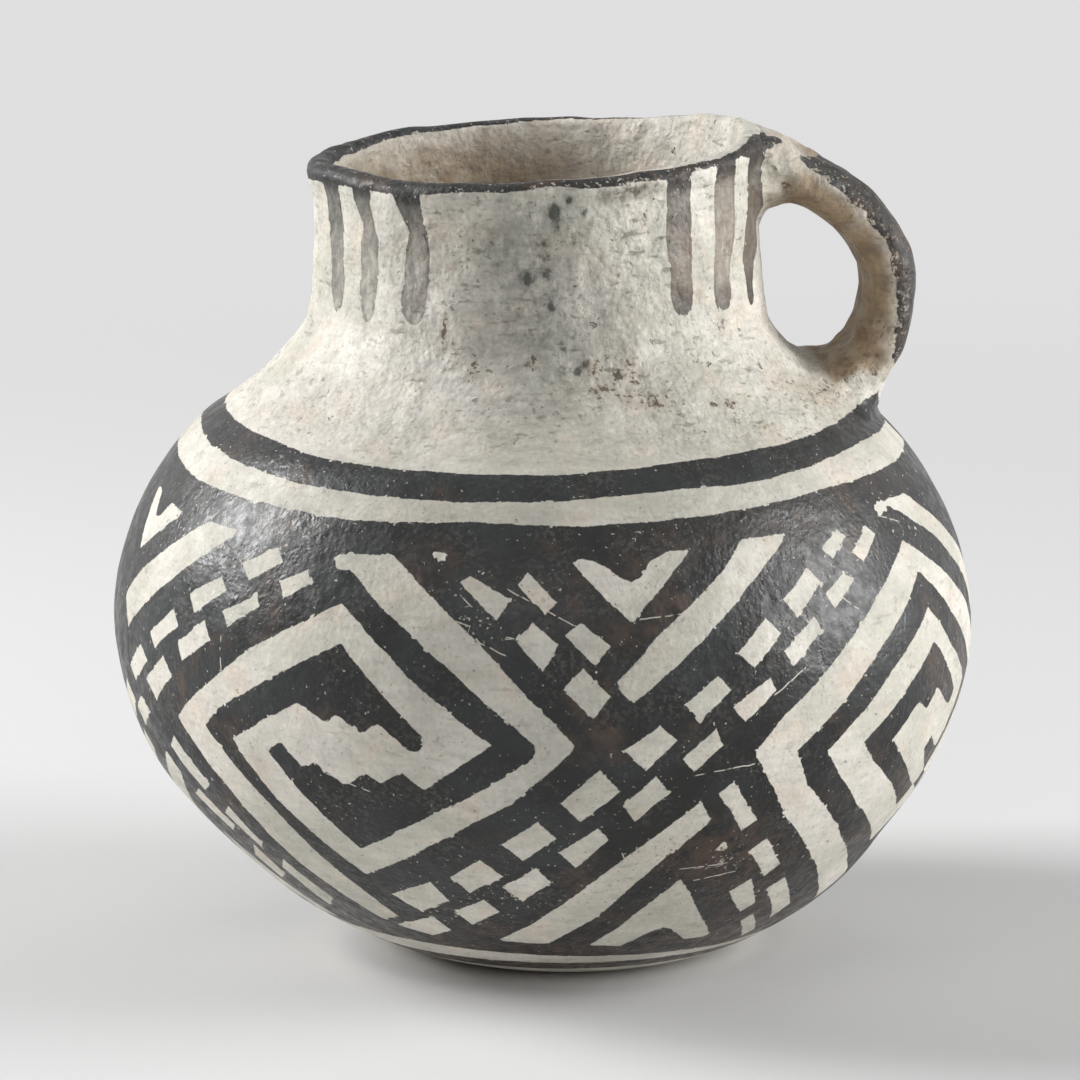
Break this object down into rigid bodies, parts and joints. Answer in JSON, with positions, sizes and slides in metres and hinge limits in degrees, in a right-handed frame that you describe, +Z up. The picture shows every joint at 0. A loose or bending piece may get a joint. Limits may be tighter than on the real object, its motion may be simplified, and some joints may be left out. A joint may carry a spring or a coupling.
{
  "type": "pottery pitcher",
  "caption": "Squat round-bellied pottery pitcher with a short wide neck, one strap handle from lip to shoulder and dark painted stepped frets on pale slip.",
  "frame": {"origin": "on the table, under the middle of the belly", "axes": "+Z up through the mouth, +X towards the handle, +Y towards the back of the view in which the handle is on the right"},
  "size_m": [0.16, 0.16, 0.154],
  "materials": {
    "painted_slip": "hand-smoothed pale grey-cream slip with matt black-brown mineral paint, worn, scratched and pitted",
    "handle_slip": "cream-brown slip with dark paint along the outer face, crackled and worn at its edge",
    "foot_clay": "worn cream slip over bare fired clay"
  },
  "bodies": {
    "root": {"base_pat": "foot_clay", "under_course": "painted_slip", "lower_belly_course": "painted_slip", "belly_course": "painted_slip", "upper_belly_course": "painted_slip", "shoulder_course": "painted_slip", "neck_foot_course": "painted_slip", "neck_course": "painted_slip", "lip_coil": "painted_slip", "handle_strap": "handle_slip", "upper_lute": "handle_slip", "lower_lute": "handle_slip"}
  },
  "joints": []
}
